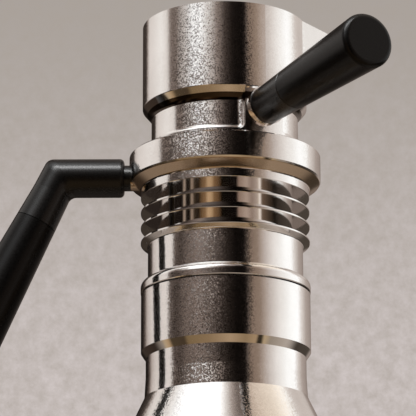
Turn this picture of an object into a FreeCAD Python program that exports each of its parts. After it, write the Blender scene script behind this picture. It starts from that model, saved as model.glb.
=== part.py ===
import FreeCAD, Part
import math
import os

import Sketcher
from FreeCAD import Placement, Rotation, Vector

# Stovetop espresso maker. The origin is the middle of the flat base, +Z points up the axis,
# the lifting handle points along -X and all sizes are in millimetres and degrees.

SIZES = {
    # base boiler
    "base_radius": 47.4,
    "base_height": 33.0,
    "base_floor": 5.0,
    "base_wall": 7.0,
    "base_edge_round": 3.0,
    "spigot_step": 3.6,
    "spigot_height": 8.0,
    # clearances
    "running_gap": 0.3,
    "thread_gap": 0.4,
    "fit_gap": 0.05,
    "cut_margin": 1.0,
    # boiler seal
    "seal_thickness": 1.4,
    "seal_margin": 0.2,
    # boiler body
    "cone_angle": 25.5,
    "cone_wall": 5.05,
    "shoulder_round": 6.0,
    "body_wall_height": 8.99,
    "chamber_wall": 7.8,
    "flare_radius": 31.8,
    "neck_radius": 31.34,
    "neck_taper_height": 8.0,
    "neck_height": 15.5,
    "drum_radius": 33.24,
    "drum_chamfer_height": 2.9,
    "drum_height": 23.1,
    "partition_under": 5.0,
    "partition_thickness": 8.0,
    "coil_chamber_radius": 28.3,
    "joint_bore_radius": 29.5,
    "joint_depth": 11.5,
    "joint_seal_thickness": 1.5,
    "seam_chamfer": 0.3,
    # group
    "group_seam": 0.4,
    "ring_radius": 33.4,
    "ring_height": 4.9,
    "ring_round": 2.5,
    "ring_cove": 0.6,
    "collar_cove": 0.8,
    "band_radius": 30.58,
    "band_height": 14.2,
    "band_cove_rise": 1.1,
    "fin_radius": 33.41,
    "fin_root_radius": 26.5,
    "fin_thickness": 0.9,
    "fin_pitch": 6.17,
    "fin_edge_chamfer": 0.18,
    "top_fin_height": 3.6,
    "collar_radius": 38.0,
    "collar_slope_rise": 3.0,
    "collar_height": 10.85,
    "collar_chamfer": 0.5,
    "group_cavity_radius": 26.0,
    "group_cavity_height": 2.5,
    "water_bore_radius": 2.0,
    # bayonet
    "bayonet_bore_radius": 29.7,
    "bayonet_groove_radius": 31.9,
    "bayonet_lip": 4.45,
    "bayonet_groove_height": 5.4,
    "bayonet_turn": 60.0,
    "lug_angle": 28.0,
    "slot_angle": 34.0,
    "lug_height": 2.9,
    "seal_seat_radius": 28.6,
    "seal_seat_depth": 3.0,
    "group_seal_height": 2.7,
    "group_seal_width": 2.9,
    "screen_radius": 24.8,
    "screen_thickness": 1.5,
    "screen_screw_reach": 3.0,
    "screen_screw_head": 0.9,
    "screen_hole_radius": 0.8,
    "screen_hole_circle": 14.0,
    "spread_radius": 20.0,
    "spread_depth": 1.5,
    # portafilter and cup
    "cup_radius": 32.83,
    "cup_wall": 2.33,
    "cup_height": 34.4,
    "cup_floor": 3.9,
    "cup_floor_drop": 0.6,
    "cup_edge_round": 0.5,
    "flange_height": 1.95,
    "recess_radius": 29.25,
    "recess_cove": 2.8,
    "recess_height": 13.6,
    "recess_slope": 4.2,
    "boss_angle": 30.5,
    "boss_radius": 32.2,
    "basket_bore_radius": 25.9,
    "lip_angle": 12.0,
    "lip_spread": 30.0,
    "lip_half_angle": 42.5,
    "lip_round": 3.0,
    "lip_depth": 20.0,
    # basket, clip and coffee column
    "basket_wall": 0.7,
    "basket_radius": 24.6,
    "basket_rim_height": 1.6,
    "basket_slack": 0.1,
    "basket_lift": 0.2,
    "basket_round": 1.5,
    "basket_hole_radius": 0.9,
    "basket_hole_circle": 8.0,
    "clip_wire_radius": 0.6,
    "clip_angle": 310.0,
    "clip_start": -20.0,
    "column_radius": 6.0,
    "column_bore_radius": 3.0,
    "column_spigot_radius": 4.5,
    "column_height": 23.5,
    "column_hole_radius": 1.5,
    "column_seal_radius": 0.9,
    "cap_radius": 9.5,
    "cap_wall": 1.4,
    "cap_skirt": 6.5,
    "cap_round": 2.0,
    "cap_plug": 2.0,
    # handles
    "stud_radius": 3.0,
    "grip_taper": 0.0457,
    "grip_end_round": 2.1,
    "grip_seam_chamfer": 0.3,
    "pot_handle_azimuth": -60.7,
    "pot_handle_tilt": 2.83,
    "pot_handle_rise": 8.72,
    "pot_seat_radius": 7.9,
    "pot_seat_reach": 33.9,
    "pot_seat_root": 1.5,
    "pot_root_radius": 7.37,
    "pot_root_length": 20.1,
    "pot_grip_length": 53.4,
    "pot_stud_inset": 6.9,
    "pot_stud_length": 18.0,
    "grip_stud_length": 22.0,
    "stud_end_gap": 0.5,
    "lift_axis_drop": 8.2,
    "lift_neck_radius": 5.15,
    "lift_seat_depth": 0.6,
    "lift_neck_length": 2.6,
    "lift_stud_inset": 2.9,
    "lift_stud_length": 19.0,
    "lift_corner_reach": 65.8,
    "lift_drop_angle": 63.4,
    "lift_bend_round": 3.65,
    "lift_rod_radius": 7.7,
    "lift_rim_round": 1.7,
    "lift_leg_length": 20.3,
    "lift_grip_length": 75.0,
    # regulator, riser and coil
    "regulator_shank_radius": 7.9,
    "regulator_shank_drop": 4.0,
    "regulator_flange_radius": 10.8,
    "regulator_flange_height": 3.0,
    "regulator_seal_thickness": 1.0,
    "regulator_sleeve_radius": 8.6,
    "regulator_sleeve_height": 12.0,
    "regulator_bore_radius": 4.6,
    "regulator_seat_radius": 1.6,
    "regulator_floor": 1.0,
    "regulator_outlet_rise": 2.0,
    "regulator_outlet_radius": 1.5,
    "piston_height": 5.6,
    "piston_tip": 2.0,
    "adjuster_height": 5.0,
    "adjuster_socket_radius": 2.0,
    "adjuster_socket_depth": 2.5,
    "regulator_spring_radius": 3.2,
    "regulator_spring_wire": 0.45,
    "riser_radius": 3.0,
    "riser_wall": 1.0,
    "riser_socket": 3.0,
    "riser_foot_gap": 4.0,
    "strainer_radius": 4.6,
    "strainer_height": 6.0,
    "strainer_gap": 1.5,
    "strainer_floor": 1.0,
    "strainer_slot_rise": 2.0,
    "strainer_slot_radius": 0.7,
    "coil_radius": 18.5,
    "coil_tube_radius": 2.5,
    "coil_pitch": 6.4,
    "coil_rise": 5.0,
    "union_width": 8.0,
    "union_gap": 5.0,
    "union_socket": 3.0,
    "union_wall": 0.6,
    # safety valve
    "valve_height": 18.0,
    "valve_seat_depth": 1.2,
    "valve_seat_radius": 8.4,
    "valve_shank_radius": 5.0,
    "valve_hex_radius": 7.6,
    "valve_hex_height": 5.0,
    "valve_bore_radius": 3.2,
    "valve_port_radius": 1.8,
    "valve_sill": 1.6,
    "poppet_radius": 2.9,
    "poppet_thickness": 1.5,
    "poppet_stem_radius": 1.0,
    "poppet_stem_length": 10.5,
    "valve_cap_height": 1.5,
    "valve_cap_step": 0.6,
    "valve_cap_bore_radius": 1.4,
    "valve_spring_radius": 2.2,
    "valve_spring_wire": 0.35,
}

# Counts: the turns of the coil and springs, the bayonet lugs, the fins, the holes of a ring and
# the sides of a hexagon.
COIL_TURNS = 3
REGULATOR_SPRING_TURNS = 5
VALVE_SPRING_TURNS = 4
BAYONET_LUGS = 3
THIN_FINS = 3
RING_HOLES = 6
HEX_SIDES = 6


class Dim:
    """A size that carries its value and the expression which binds it to the sheet."""

    def __init__(self, text, value):
        self.text = text
        self.value = value

    def combine(self, sign, other, value):
        return Dim(f"({self.text} {sign} {dim(other).text})", value)

    def __add__(self, other):
        return self.combine("+", other, self.value + dim(other).value)

    def __sub__(self, other):
        return self.combine("-", other, self.value - dim(other).value)

    def __mul__(self, other):
        return self.combine("*", other, self.value * dim(other).value)

    def __truediv__(self, other):
        return self.combine("/", other, self.value / dim(other).value)

    def __neg__(self):
        return Dim(f"(0 - {self.text})", -self.value)


def dim(number):
    return number if isinstance(number, Dim) else Dim(str(number), number)


def tangent(angle):
    return Dim(f"tan({angle.text} * 1deg)", math.tan(math.radians(angle.value)))


doc = FreeCAD.newDocument("EspressoMaker")
sheet = doc.addObject("Spreadsheet::Sheet", "Sizes")
for row, (alias, number) in enumerate(SIZES.items(), start=1):
    sheet.set(f"A{row}", alias)
    sheet.set(f"B{row}", str(number))
    sheet.setAlias(f"B{row}", alias)
doc.recompute()


class Sizes:
    """Gives each size of the sheet by its name."""

    def __getattr__(self, name):
        return Dim(f"Sizes.{name}", float(sheet.get(name)))


size = Sizes()
pieces = []


def keep(item):
    pieces.append(item)
    return item


# Tools for sketches and features

def new_body(label, placement=None):
    body = doc.addObject("PartDesign::Body", label)
    body.Label = label
    if placement:
        body.Placement = placement
    return keep(body)


def new_sketch(body, role, name, shift=None, rotation=None):
    """A sketch on an origin plane of its body, moved along the plane's normal by shift."""
    plane = [feature for feature in body.Origin.OriginFeatures if feature.Role == role][0]
    sketch = body.newObject("Sketcher::SketchObject", name)
    sketch.AttachmentSupport = [(plane, "")]
    sketch.MapMode = "FlatFace"
    sketch.AttachmentOffset = Placement(Vector(0, 0, shift.value if shift else 0), rotation or Rotation())
    if shift:
        sketch.setExpression("AttachmentOffset.Base.z", shift.text)
    return sketch


def pin_point(sketch, geometry, position, axis_distance, other_axis):
    """Holds one coordinate of a point, on the axis itself where the coordinate is zero."""
    kind, value = axis_distance
    if abs(value.value) < 1e-9:
        sketch.addConstraint(Sketcher.Constraint("PointOnObject", geometry, position, other_axis))
        return
    if value.value > 0:
        index = sketch.addConstraint(Sketcher.Constraint(kind, -1, 1, geometry, position, value.value))
        sketch.setExpression(f"Constraints[{index}]", value.text)
    else:
        index = sketch.addConstraint(Sketcher.Constraint(kind, geometry, position, -1, 1, -value.value))
        sketch.setExpression(f"Constraints[{index}]", (-value).text)


def place_point(sketch, geometry, position, across, up):
    pin_point(sketch, geometry, position, ("DistanceX", dim(across)), -2)
    pin_point(sketch, geometry, position, ("DistanceY", dim(up)), -1)


def draw_outline(sketch, corners):
    """A closed outline of straight lines with every corner bound to the sheet."""
    corners = [(dim(across), dim(up)) for across, up in corners]
    spots = [Vector(across.value, up.value, 0) for across, up in corners]
    count = len(spots)
    for index in range(count):
        sketch.addGeometry(Part.LineSegment(spots[index], spots[(index + 1) % count]), False)
    for index in range(count):
        sketch.addConstraint(Sketcher.Constraint("Coincident", index, 2, (index + 1) % count, 1))
    for index, (across, up) in enumerate(corners):
        place_point(sketch, index, 1, across, up)


def draw_circle(sketch, across, up, radius):
    across, up, radius = dim(across), dim(up), dim(radius)
    circle = Part.Circle(Vector(across.value, up.value, 0), Vector(0, 0, 1), radius.value)
    geometry = sketch.addGeometry(circle, False)
    place_point(sketch, geometry, 3, across, up)
    index = sketch.addConstraint(Sketcher.Constraint("Radius", geometry, radius.value))
    sketch.setExpression(f"Constraints[{index}]", radius.text)


def turn(body, name, corners, angle=None, cut=False, facing=0):
    """Turns an outline of (radius, height) corners about the body's Z axis.

    A part turn spreads evenly to both sides of the direction that it faces.
    """
    sketch = new_sketch(body, "XZ_Plane", name + "_profile", rotation=Rotation(Vector(0, 1, 0), facing))
    draw_outline(sketch, corners)
    feature = body.newObject("PartDesign::Groove" if cut else "PartDesign::Revolution", name)
    feature.Profile = sketch
    feature.ReferenceAxis = (sketch, ["V_Axis"])
    feature.Angle = angle.value if angle else 360
    if angle:
        feature.setExpression("Angle", angle.text)
        feature.Midplane = True
    sketch.Visibility = False
    doc.recompute()
    return feature


def press(body, name, sketch, length, cut=False, backwards=False):
    """Pads or pockets a sketch by a length. A pocket runs against the sketch's normal."""
    feature = body.newObject("PartDesign::Pocket" if cut else "PartDesign::Pad", name)
    feature.Profile = sketch
    feature.Length = length.value
    feature.setExpression("Length", length.text)
    feature.Reversed = backwards
    sketch.Visibility = False
    doc.recompute()
    return feature


def drill(body, name, role, shift, across, up, radius, depth, backwards=False, rotation=None):
    before = body.Shape.Volume
    sketch = new_sketch(body, role, name + "_circle", shift, rotation)
    draw_circle(sketch, across, up, radius)
    feature = press(body, name, sketch, depth, cut=True, backwards=backwards)
    if body.Shape.Volume >= before:
        raise ValueError(f"{name} cuts nothing")
    return feature


def repeat_round(body, name, feature, count):
    """Repeats a feature evenly about the body's Z axis."""
    pattern = body.newObject("PartDesign::PolarPattern", name)
    pattern.Originals = [feature]
    pattern.Axis = ([plane for plane in body.Origin.OriginFeatures if plane.Role == "Z_Axis"][0], [""])
    pattern.Angle = 360
    pattern.Occurrences = count
    body.Tip = pattern
    doc.recompute()
    return pattern


def dress(body, name, kind, radius, wanted):
    """Rounds or chamfers the edges of the body's last feature which wanted(edge) picks."""
    base = body.Tip
    names = [f"Edge{index}" for index, edge in enumerate(base.Shape.Edges, start=1) if wanted(edge)]
    if not names:
        raise ValueError(f"{name} finds no edge")
    feature = body.newObject("PartDesign::" + kind, name)
    feature.Base = (base, names)
    prop = "Radius" if kind == "Fillet" else "Size"
    setattr(feature, prop, radius.value)
    feature.setExpression(prop, radius.text)
    doc.recompute()
    return feature


def near(first, second):
    return abs(first - second) < 1e-3


def ring_edge(*corners):
    """A test for the circular edges that the given (radius, height) corners turn into."""
    spots = [(dim(radius).value, dim(height).value) for radius, height in corners]

    def test(edge):
        curve = edge.Curve
        if not isinstance(curve, Part.Circle) or not near(curve.Center.x, 0) or not near(curve.Center.y, 0):
            return False
        return any(near(curve.Radius, radius) and near(curve.Center.z, height) for radius, height in spots)
    return test


def turned_piece(label, corners, placement=None, rounds=()):
    """A turned piece in one step, with (size, corner, corner, ...) rows for its rounds."""
    body = new_body(label, placement)
    turn(body, label + "_turning", corners)
    for index, (radius, *spots) in enumerate(rounds, start=1):
        dress(body, f"{label}_round_{index}", "Fillet", radius, ring_edge(*spots))
    return body


def ring(label, inner, outer, bottom, height):
    top = bottom + height
    return turned_piece(label, [(inner, bottom), (outer, bottom), (outer, top), (inner, top)])


def bind(item, prop, value):
    setattr(item, prop, value.value)
    item.setExpression(prop, value.text)


def cylinder(name, radius, height, placement):
    item = doc.addObject("Part::Cylinder", name)
    bind(item, "Radius", radius)
    bind(item, "Height", height)
    item.Placement = placement
    return item


def along(direction, start):
    """A placement that turns local Z to a direction, from a start point."""
    return Placement(start, Rotation(Vector(0, 0, 1), direction))


# Wire and tube that is wound to a helix

def arc_between(start, corner, end):
    """The arc that leaves start towards corner and arrives at end, with legs of equal length."""
    middle = (start + end) * 0.5
    half = (end - start).Length / 2
    rise = corner - middle
    bow = half * math.tan(math.atan2(rise.Length, half) / 2)
    return Part.Arc(start, middle + rise.normalize() * bow, end).toShape()


def biarc(start, heading, end, arrival):
    """Two tangent arcs from a point and heading to a point and heading."""
    chord = end - start
    spread = 1 - heading.dot(arrival)
    lean = chord.dot(heading + arrival)
    leg = (math.sqrt(lean ** 2 + 2 * spread * chord.dot(chord)) - lean) / (2 * spread)
    first = start + heading * leg
    last = end - arrival * leg
    joint = (first + last) * 0.5
    return [arc_between(start, first, joint), arc_between(joint, last, end)]


def wound_path(radius, pitch, turns, bottom, lead):
    """A helix as biarcs of a quarter turn. Its ends are level and run straight for the lead."""
    steps = turns * 4
    spots, headings = [], []
    for step in range(steps + 1):
        angle = step * math.pi / 2
        level = step in (0, steps)
        slope = 0 if level else pitch / (2 * math.pi * radius)
        spots.append(Vector(radius * math.cos(angle), radius * math.sin(angle), bottom + pitch * step / 4))
        headings.append(Vector(-math.sin(angle), math.cos(angle), slope).normalize())
    edges = []
    if lead:
        edges.append(Part.LineSegment(spots[0] - headings[0] * lead, spots[0]).toShape())
    for step in range(steps):
        edges += biarc(spots[step], headings[step], spots[step + 1], headings[step + 1])
    if lead:
        edges.append(Part.LineSegment(spots[-1], spots[-1] + headings[-1] * lead).toShape())
    return edges, headings[0]


def least_gap(edges, radius):
    """The least distance between the surfaces of neighbouring turns, measured on points."""
    spots = [point for edge in edges for point in edge.discretize(7)[:-1]]
    reach = [0.0]
    for first, second in zip(spots, spots[1:]):
        reach.append(reach[-1] + (second - first).Length)
    apart = 4 * radius
    gaps = [(spots[i] - spots[j]).Length - 2 * radius
            for i in range(len(spots)) for j in range(i + 1, len(spots)) if reach[j] - reach[i] > apart]
    return min(gaps)


def wound_piece(label, radius, wire, pitch, turns, bottom, lead=0.0, placement=None):
    """One unbroken wire or tube, wound as a coil."""
    edges, heading = wound_path(radius, pitch, turns, bottom, lead)
    path = Part.Wire(edges)
    start = edges[0].Vertexes[0].Point
    shell = Part.BRepOffsetAPI.MakePipeShell(path)
    shell.add(Part.Wire([Part.makeCircle(wire, start, heading)]))
    shell.build()
    shell.makeSolid()
    shape = shell.shape()
    section = math.pi * wire ** 2
    print(f"{label}: least gap {least_gap(edges, wire):.2f} mm,"
          f" volume over section times length {shape.Volume / (section * path.Length):.4f}")
    item = doc.addObject("Part::Feature", label)
    item.Label = label
    item.Shape = shape
    item.Placement = placement or Placement()
    return keep(item)


# Heights that several pieces share, from the base up

body_bottom = size.base_height + size.running_gap
spigot_top = size.base_height + size.spigot_height
base_bore_radius = size.base_radius - size.base_wall
spigot_radius = size.base_radius - size.spigot_step
chamber_radius = size.base_radius - size.chamber_wall
seal_bottom = spigot_top + size.running_gap
seal_ledge = seal_bottom + size.seal_thickness + size.running_gap
cone_slope = tangent(size.cone_angle)
throat_radius = size.flare_radius - size.cone_wall
cone_outer_bottom = body_bottom + size.body_wall_height
flare_height = cone_outer_bottom + (size.base_radius - size.flare_radius) / cone_slope
cone_inner_bottom = flare_height - (chamber_radius - throat_radius) / cone_slope
neck_top = flare_height + size.neck_height
drum_bottom = neck_top + size.drum_chamfer_height
drum_top = drum_bottom + size.drum_height
partition_bottom = flare_height + size.partition_under
partition_top = partition_bottom + size.partition_thickness
joint_ledge = drum_top - size.joint_depth

ring_bottom = drum_top + size.group_seam
ring_top = ring_bottom + size.ring_height
band_top = ring_top + size.band_height
fin_foot = band_top + size.band_cove_rise
top_fin_bottom = fin_foot + size.fin_pitch * THIN_FINS
top_fin_top = top_fin_bottom + size.top_fin_height
collar_bottom = top_fin_top + size.collar_slope_rise
collar_top = collar_bottom + size.collar_height
lip_under = collar_top - size.bayonet_lip
groove_floor = lip_under - size.bayonet_groove_height
seal_seat = groove_floor - size.seal_seat_depth
group_ceiling = ring_bottom + size.group_cavity_height
lift_axis_height = collar_top - size.lift_axis_drop
lift_seat_reach = size.collar_radius - size.lift_seat_depth

flange_bottom = collar_top + size.running_gap
recess_bottom = flange_bottom + size.flange_height
recess_top = recess_bottom + size.recess_height
cup_bottom = recess_top + size.recess_slope
cup_top = cup_bottom + size.cup_height
cup_floor_top = cup_bottom - size.cup_floor_drop
basket_ceiling = cup_floor_top - size.cup_floor
group_seal_top = seal_seat + size.group_seal_height
skirt_bottom = group_seal_top + size.running_gap
skirt_radius = size.bayonet_bore_radius - size.running_gap
pot_handle_height = recess_bottom + size.pot_handle_rise


# Base boiler with the safety valve in its wall

def make_base_boiler():
    body = new_body("base_boiler")
    turn(body, "base_turning", [
        (0, 0), (size.base_radius, 0), (size.base_radius, size.base_height),
        (spigot_radius, size.base_height), (spigot_radius, spigot_top),
        (base_bore_radius, spigot_top), (base_bore_radius, size.base_floor), (0, size.base_floor)])
    dress(body, "base_rounds", "Fillet", size.base_edge_round,
          ring_edge((size.base_radius, 0), (base_bore_radius, size.base_floor)))
    drill(body, "valve_hole", "XZ_Plane", dim(0), 0, size.valve_height,
          size.valve_shank_radius + size.fit_gap, size.base_radius)
    drill(body, "valve_seat", "XZ_Plane", size.valve_seat_depth - size.base_radius, 0, size.valve_height,
          size.valve_seat_radius, size.valve_seat_depth)
    return body


def valve_placement():
    """The valve's own frame: its axis points out of the wall, from the face that it seats on."""
    seat = size.base_radius.value - size.valve_seat_depth.value
    return along(Vector(0, 1, 0), Vector(0, seat, size.valve_height.value))


def make_safety_valve():
    inner_end = size.valve_seat_depth - size.base_wall
    sill = inner_end + size.valve_sill
    cap_bottom = size.valve_hex_height - size.valve_cap_height
    shank, bore = size.valve_shank_radius, size.valve_bore_radius
    cap_radius = bore + size.valve_cap_step
    body = new_body("safety_valve_body", valve_placement())
    turn(body, "valve_turning", [
        (size.valve_port_radius, inner_end), (shank, inner_end), (shank, 0), (size.valve_seat_radius, 0),
        (size.valve_seat_radius, size.valve_hex_height), (cap_radius, size.valve_hex_height),
        (cap_radius, cap_bottom), (bore, cap_bottom), (bore, sill), (size.valve_port_radius, sill)])
    flats = new_sketch(body, "XY_Plane", "valve_flats", dim(0))
    cut_away = size.valve_seat_radius * 2
    reach = size.valve_hex_radius * math.cos(math.pi / HEX_SIDES)
    draw_outline(flats, [(reach, -cut_away), (cut_away, -cut_away), (cut_away, cut_away), (reach, cut_away)])
    flat = press(body, "valve_flat", flats, size.valve_hex_height, cut=True, backwards=True)
    repeat_round(body, "valve_hexagon", flat, HEX_SIDES)

    poppet_bottom = sill + size.fit_gap
    poppet_top = poppet_bottom + size.poppet_thickness
    stem, stem_top = size.poppet_stem_radius, poppet_bottom + size.poppet_stem_length
    turned_piece("safety_valve_poppet", [
        (0, poppet_bottom), (size.poppet_radius, poppet_bottom), (size.poppet_radius, poppet_top),
        (stem, poppet_top), (stem, stem_top), (0, stem_top)], valve_placement())
    cap = ring("safety_valve_cap", size.valve_cap_bore_radius, cap_radius, cap_bottom, size.valve_cap_height)
    cap.Placement = valve_placement()

    end_gap = size.valve_spring_wire + size.fit_gap
    low, high = poppet_top + end_gap, cap_bottom - end_gap
    wound_piece("safety_valve_spring", size.valve_spring_radius.value, size.valve_spring_wire.value,
                (high - low).value / VALVE_SPRING_TURNS, VALVE_SPRING_TURNS, low.value,
                placement=valve_placement())


# Boiler body, its seal and what is screwed into its partition

def make_boiler_seal():
    ring("boiler_seal", base_bore_radius + size.seal_margin, spigot_radius - size.seal_margin, seal_bottom,
         size.seal_thickness)


def make_boiler_body():
    thread_radius = spigot_radius + size.thread_gap
    hole = size.regulator_shank_radius + size.fit_gap
    body = new_body("boiler_body")
    turn(body, "body_turning", [
        (size.base_radius, body_bottom), (size.base_radius, cone_outer_bottom),
        (size.flare_radius, flare_height),
        (size.neck_radius, flare_height + size.neck_taper_height),
        (size.neck_radius, neck_top), (size.drum_radius, drum_bottom),
        (size.drum_radius, drum_top - size.seam_chamfer), (size.drum_radius - size.seam_chamfer, drum_top),
        (size.joint_bore_radius, drum_top), (size.joint_bore_radius, joint_ledge),
        (size.coil_chamber_radius, joint_ledge), (size.coil_chamber_radius, partition_top),
        (hole, partition_top), (hole, partition_bottom), (throat_radius, partition_bottom),
        (throat_radius, flare_height), (chamber_radius, cone_inner_bottom),
        (chamber_radius, seal_ledge), (thread_radius, seal_ledge), (thread_radius, body_bottom)])
    dress(body, "shoulder", "Fillet", size.shoulder_round, ring_edge((size.base_radius, cone_outer_bottom)))
    return body


flange_foot = partition_top + size.regulator_seal_thickness
flange_top = flange_foot + size.regulator_flange_height
sleeve_top = flange_top + size.regulator_sleeve_height
shank_bottom = partition_bottom - size.regulator_shank_drop
socket_top = shank_bottom + size.riser_socket
valve_floor = socket_top + size.regulator_floor
adjuster_bottom = sleeve_top - size.adjuster_height


def make_regulator():
    shank, bore = size.regulator_shank_radius, size.regulator_bore_radius
    body = new_body("regulator_housing")
    turn(body, "housing_turning", [
        (size.regulator_seat_radius, socket_top), (size.riser_radius + size.fit_gap, socket_top),
        (size.riser_radius + size.fit_gap, shank_bottom), (shank, shank_bottom), (shank, flange_foot),
        (size.regulator_flange_radius, flange_foot), (size.regulator_flange_radius, flange_top),
        (size.regulator_sleeve_radius, flange_top), (size.regulator_sleeve_radius, sleeve_top),
        (bore, sleeve_top), (bore, valve_floor), (size.regulator_seat_radius, valve_floor)])
    drill(body, "outlet", "YZ_Plane", dim(0), 0, flange_top + size.regulator_outlet_rise,
          size.regulator_outlet_radius, size.regulator_flange_radius, backwards=True)
    ring("regulator_seal", shank + size.fit_gap, size.regulator_flange_radius, partition_top,
         size.regulator_seal_thickness)

    tip = valve_floor + size.running_gap
    shoulder = tip + size.piston_tip
    piston_top = tip + size.piston_height
    guide = bore - size.running_gap
    turned_piece("regulator_piston", [
        (0, tip), (size.regulator_seat_radius, tip), (guide, shoulder), (guide, piston_top), (0, piston_top)])

    body = new_body("regulator_adjuster")
    turn(body, "adjuster_turning", [
        (0, adjuster_bottom), (bore - size.fit_gap, adjuster_bottom), (bore - size.fit_gap, sleeve_top),
        (0, sleeve_top)])
    drill(body, "adjuster_socket", "XY_Plane", sleeve_top, 0, 0, size.adjuster_socket_radius,
          size.adjuster_socket_depth)

    end_gap = size.regulator_spring_wire + size.fit_gap
    low, high = piston_top + end_gap, adjuster_bottom - end_gap
    wound_piece("regulator_spring", size.regulator_spring_radius.value, size.regulator_spring_wire.value,
                (high - low).value / REGULATOR_SPRING_TURNS, REGULATOR_SPRING_TURNS, low.value)


def make_riser():
    foot = size.base_floor + size.riser_foot_gap
    inner = size.riser_radius - size.riser_wall
    turned_piece("riser_tube", [
        (inner, foot), (size.riser_radius, foot), (size.riser_radius, socket_top), (inner, socket_top)])
    bottom = size.base_floor + size.strainer_gap
    top = bottom + size.strainer_height
    sleeve = size.riser_radius + size.fit_gap
    body = new_body("riser_strainer")
    turn(body, "strainer_turning", [
        (0, bottom), (size.strainer_radius, bottom), (size.strainer_radius, top), (sleeve, top),
        (sleeve, bottom + size.strainer_floor), (0, bottom + size.strainer_floor)])
    slot = bottom + size.strainer_slot_rise
    drill(body, "strainer_slot_x", "YZ_Plane", -size.strainer_radius, 0, slot, size.strainer_slot_radius,
          size.strainer_radius * 2, backwards=True)
    drill(body, "strainer_slot_y", "XZ_Plane", size.strainer_radius, 0, slot, size.strainer_slot_radius,
          size.strainer_radius * 2)


def make_union(label, middle, bottom, height, side):
    """A block with a socket for one end of the coil; side is -1 at the inlet and 1 at the outlet."""
    width = size.union_width.value
    reach = size.union_gap.value
    block = doc.addObject("Part::Box", label + "_block")
    bind(block, "Length", size.union_width)
    bind(block, "Width", size.union_width)
    bind(block, "Height", height)
    face = side * reach
    block.Placement = Placement(
        Vector(size.coil_radius.value - width / 2, min(face, face + side * width), bottom.value), Rotation())
    start = Vector(size.coil_radius.value, face, middle)
    socket = cylinder(label + "_socket", size.coil_tube_radius + size.fit_gap, size.union_socket,
                      along(Vector(0, side, 0), start))
    union = doc.addObject("Part::Cut", label)
    union.Label = label
    union.Base = block
    union.Tool = socket
    return keep(union)


def make_coil():
    bottom = partition_top.value + size.coil_rise.value
    top = bottom + size.coil_pitch.value * COIL_TURNS
    lead = size.union_gap.value + size.union_socket.value
    wound_piece("cooling_coil", size.coil_radius.value, size.coil_tube_radius.value, size.coil_pitch.value,
                COIL_TURNS, bottom, lead=lead)
    around = size.coil_tube_radius + size.union_wall
    make_union("coil_inlet_union", bottom, partition_top, size.coil_rise + around, -1)
    outlet_bottom = partition_top + size.coil_rise + size.coil_pitch * COIL_TURNS - around
    make_union("coil_outlet_union", top, outlet_bottom, group_ceiling - outlet_bottom, 1)


# Group: shoulder ring, bare band, cooling fins and bayonet collar in one turned piece

def make_group():
    root, rim, edge = size.fin_root_radius, size.fin_radius, size.fin_edge_chamfer
    spigot = size.joint_bore_radius - size.fit_gap
    spigot_foot = joint_ledge + size.joint_seal_thickness
    fins = []
    for index in range(THIN_FINS):
        foot = fin_foot + size.fin_pitch * index
        top, above = foot + size.fin_thickness, foot + size.fin_pitch
        fins += [(rim - edge, foot), (rim, foot + edge), (rim, top - edge), (rim - edge, top),
                 (root, top), (root, above)]
    seam, bevel = size.seam_chamfer, size.collar_chamfer
    bevel_drop = bevel * size.collar_slope_rise / (size.collar_radius - rim)
    body = new_body("group_body")
    turn(body, "group_turning", [
        (size.water_bore_radius, group_ceiling), (size.group_cavity_radius, group_ceiling),
        (size.group_cavity_radius, spigot_foot), (spigot, spigot_foot), (spigot, ring_bottom),
        (size.ring_radius - seam, ring_bottom), (size.ring_radius, ring_bottom + seam),
        (size.ring_radius, ring_top), (size.band_radius, ring_top), (size.band_radius, band_top), *fins,
        (rim - edge, top_fin_bottom), (rim, top_fin_bottom + edge), (rim, top_fin_top),
        (size.collar_radius - bevel, collar_bottom - bevel_drop), (size.collar_radius, collar_bottom + bevel),
        (size.collar_radius, collar_top - bevel), (size.collar_radius - bevel, collar_top),
        (size.bayonet_bore_radius, collar_top), (size.bayonet_bore_radius, lip_under),
        (size.bayonet_groove_radius, lip_under), (size.bayonet_groove_radius, groove_floor),
        (size.seal_seat_radius, groove_floor), (size.seal_seat_radius, seal_seat),
        (size.spread_radius, seal_seat), (size.spread_radius, seal_seat - size.spread_depth),
        (size.water_bore_radius, seal_seat - size.spread_depth)])
    dress(body, "ring_round", "Fillet", size.ring_round, ring_edge((size.ring_radius, ring_top)))
    dress(body, "band_coves", "Fillet", size.ring_cove,
          ring_edge((size.band_radius, ring_top), (size.band_radius, band_top)))
    dress(body, "collar_cove", "Fillet", size.collar_cove, ring_edge((rim, top_fin_top)))
    outside = size.collar_radius + size.cut_margin
    drill(body, "lift_seat", "YZ_Plane", -outside, 0, lift_axis_height,
          size.lift_neck_radius + size.fit_gap, outside - lift_seat_reach, backwards=True)
    boss = new_sketch(body, "YZ_Plane", "lift_boss_circle", -lift_seat_reach)
    draw_circle(boss, 0, lift_axis_height, size.lift_neck_radius)
    press(body, "lift_boss", boss, lift_seat_reach - size.bayonet_groove_radius - size.cut_margin * 2)
    drill(body, "lift_stud_hole", "YZ_Plane", -lift_seat_reach, 0, lift_axis_height,
          size.stud_radius + size.fit_gap, size.lift_stud_inset, backwards=True)
    inside, above = size.bayonet_bore_radius - size.cut_margin, collar_top + size.cut_margin
    slot = turn(body, "bayonet_slot", [
        (inside, lip_under), (size.bayonet_groove_radius, lip_under), (size.bayonet_groove_radius, above),
        (inside, above)], angle=size.slot_angle, cut=True)
    repeat_round(body, "bayonet_slots", slot, BAYONET_LUGS)
    return body


def make_group_seals():
    ring("body_joint_seal", size.coil_chamber_radius + size.fit_gap, size.joint_bore_radius - size.fit_gap,
         joint_ledge, size.joint_seal_thickness)
    outer = size.seal_seat_radius - size.fit_gap
    ring("group_seal", outer - size.group_seal_width, outer, seal_seat, size.group_seal_height)


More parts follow.
